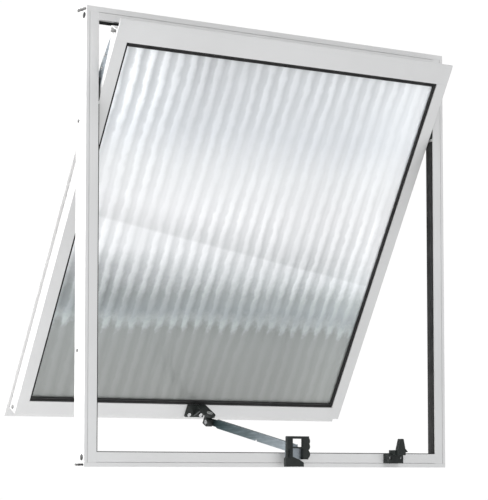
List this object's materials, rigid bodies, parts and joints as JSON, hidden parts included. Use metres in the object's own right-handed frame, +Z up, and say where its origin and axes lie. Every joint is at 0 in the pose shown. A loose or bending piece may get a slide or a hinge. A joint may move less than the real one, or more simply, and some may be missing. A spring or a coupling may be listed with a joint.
{
  "type": "top-pivoted window",
  "caption": "Small square aluminium window whose ribbed-glass sash pivots near its top and is pushed open by a flat steel stay arm with a moulded handle and a keeper on the sill.",
  "frame": {"origin": "middle of the underside of the fixed frame, at mid-depth", "axes": "+X along the sill to the right seen from the room, +Y outdoors, +Z up"},
  "size_m": [0.6, 0.2998, 0.6],
  "materials": {
    "white_aluminium": "smooth white powder coat",
    "black_rubber": "matt extruded rubber",
    "black_nylon": "moulded nylon, fine texture",
    "zinc_steel": "zinc plated",
    "bright_steel": "stainless, turned",
    "ribbed_glass": "figured, upright ribs on the room side"
  },
  "bodies": {
    "frame": {"left_jamb": "white_aluminium", "right_jamb": "white_aluminium", "head": "white_aluminium", "sill": "white_aluminium", "left_jamb_seal": "black_rubber", "right_jamb_seal": "black_rubber", "head_seal": "black_rubber", "sill_seal": "black_rubber", "left_pivot_block": "black_nylon", "right_pivot_block": "black_nylon", "keeper": "black_nylon", "left_pivot_pin": "bright_steel", "right_pivot_pin": "bright_steel", "frame_corner_screws": "bright_steel", "pivot_block_screws": "bright_steel", "keeper_screws": "bright_steel"},
    "sash": {"left_stile": "white_aluminium", "right_stile": "white_aluminium", "top_rail": "white_aluminium", "bottom_rail": "white_aluminium", "left_bead": "white_aluminium", "right_bead": "white_aluminium", "top_bead": "white_aluminium", "bottom_bead": "white_aluminium", "room_gasket": "black_rubber", "outer_gasket": "black_rubber", "setting_blocks": "black_rubber", "stay_bracket": "black_nylon", "left_hinge_plate": "zinc_steel", "right_hinge_plate": "zinc_steel", "sash_corner_screws": "bright_steel", "hinge_plate_screws": "bright_steel", "bracket_screws": "bright_steel", "swivel_rivet": "bright_steel", "glass_pane": "ribbed_glass"},
    "knuckle": {"knuckle": "black_nylon", "lift_pin": "bright_steel"},
    "stay": {"stay_arm": "zinc_steel", "handle": "black_nylon", "handle_rivets": "zinc_steel"}
  },
  "joints": [
    {"name": "sash_pivot", "type": "hinge", "parent": "frame", "child": "sash", "pos_m": [0, -0.003, 0.492], "axis": [1, 0, 0], "range_deg": [-29, 0]},
    {"name": "stay_swivel", "type": "hinge", "parent": "sash", "child": "knuckle", "pos_m": [0.021, 0.18556, 0.06829], "axis": [0, -0.4848, 0.8746], "range_deg": [0, 90]},
    {"name": "stay_lift", "type": "hinge", "parent": "knuckle", "child": "stay", "pos_m": [0.021, 0.18031, 0.06538], "axis": [1, 0, 0], "range_deg": [0, 17.8]}
  ],
  "couplings": [
    {"joint": "stay_swivel", "follows": "sash_pivot", "ratio": -3.1034},
    {"joint": "stay_lift", "follows": "sash_pivot", "ratio": -0.6137}
  ]
}
